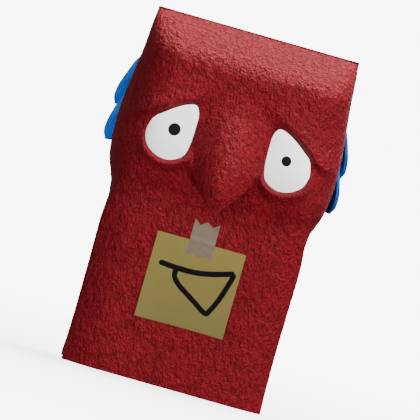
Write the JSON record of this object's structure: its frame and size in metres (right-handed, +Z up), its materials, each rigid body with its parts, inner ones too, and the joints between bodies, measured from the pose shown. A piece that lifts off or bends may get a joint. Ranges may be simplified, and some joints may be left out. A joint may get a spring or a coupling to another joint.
{
  "type": "paper bag puppet",
  "caption": "Upright paper bag hand puppet with a nodding head, card eyes, a folded nose, curled hair locks round the back and a paper mouth that flaps on a strip of tape.",
  "frame": {"origin": "middle of the hand opening, in the plane that the open rim stands on", "axes": "+Z up along the bag towards the closed edge; the face looks along -Y; +X is the right side as seen from the front"},
  "size_m": [0.1848, 0.1144, 0.269],
  "materials": {
    "bag_paper": "embossed, satin",
    "tape": "matte masking tape",
    "note_paper": "matte",
    "eye_card": "matte",
    "pupil": "matte",
    "hair_foam": "satin"
  },
  "bodies": {
    "sleeve": {"sleeve_front_panel": "bag_paper", "sleeve_back_panel": "bag_paper", "sleeve_left_gusset": "bag_paper", "sleeve_right_gusset": "bag_paper", "sleeve_back_seam": "bag_paper", "tape_on_bag": "tape", "neck_band": "bag_paper"},
    "head": {"head_front_panel": "bag_paper", "head_back_panel": "bag_paper", "head_left_side": "bag_paper", "head_right_side": "bag_paper", "closure_fold": "bag_paper", "head_back_seam": "bag_paper", "nose": "bag_paper", "left_eye_card": "eye_card", "right_eye_card": "eye_card", "left_pupil": "pupil", "right_pupil": "pupil", "hair_lock_upper_1": "hair_foam", "hair_lock_upper_2": "hair_foam", "hair_lock_upper_3": "hair_foam", "hair_lock_upper_4": "hair_foam", "hair_lock_upper_5": "hair_foam", "hair_lock_upper_6": "hair_foam", "hair_lock_upper_7": "hair_foam", "hair_lock_lower_1": "hair_foam", "hair_lock_lower_2": "hair_foam", "hair_lock_lower_3": "hair_foam", "hair_lock_lower_4": "hair_foam", "hair_lock_lower_5": "hair_foam", "hair_lock_lower_6": "hair_foam", "hair_lock_lower_7": "hair_foam"},
    "mouth_flap": {"mouth_note": "note_paper", "tape_on_note": "tape"}
  },
  "joints": [
    {"name": "head_nod", "type": "hinge", "parent": "sleeve", "child": "head", "pos_m": [0, 0, 0.138], "axis": [1, 0, 0], "range_deg": [-12, 18], "deforming": ["neck_band"]},
    {"name": "mouth_hinge", "type": "hinge", "parent": "sleeve", "child": "mouth_flap", "pos_m": [0, -0.0383, 0.1103], "axis": [-1, 0, 0], "range_deg": [0, 80]}
  ]
}
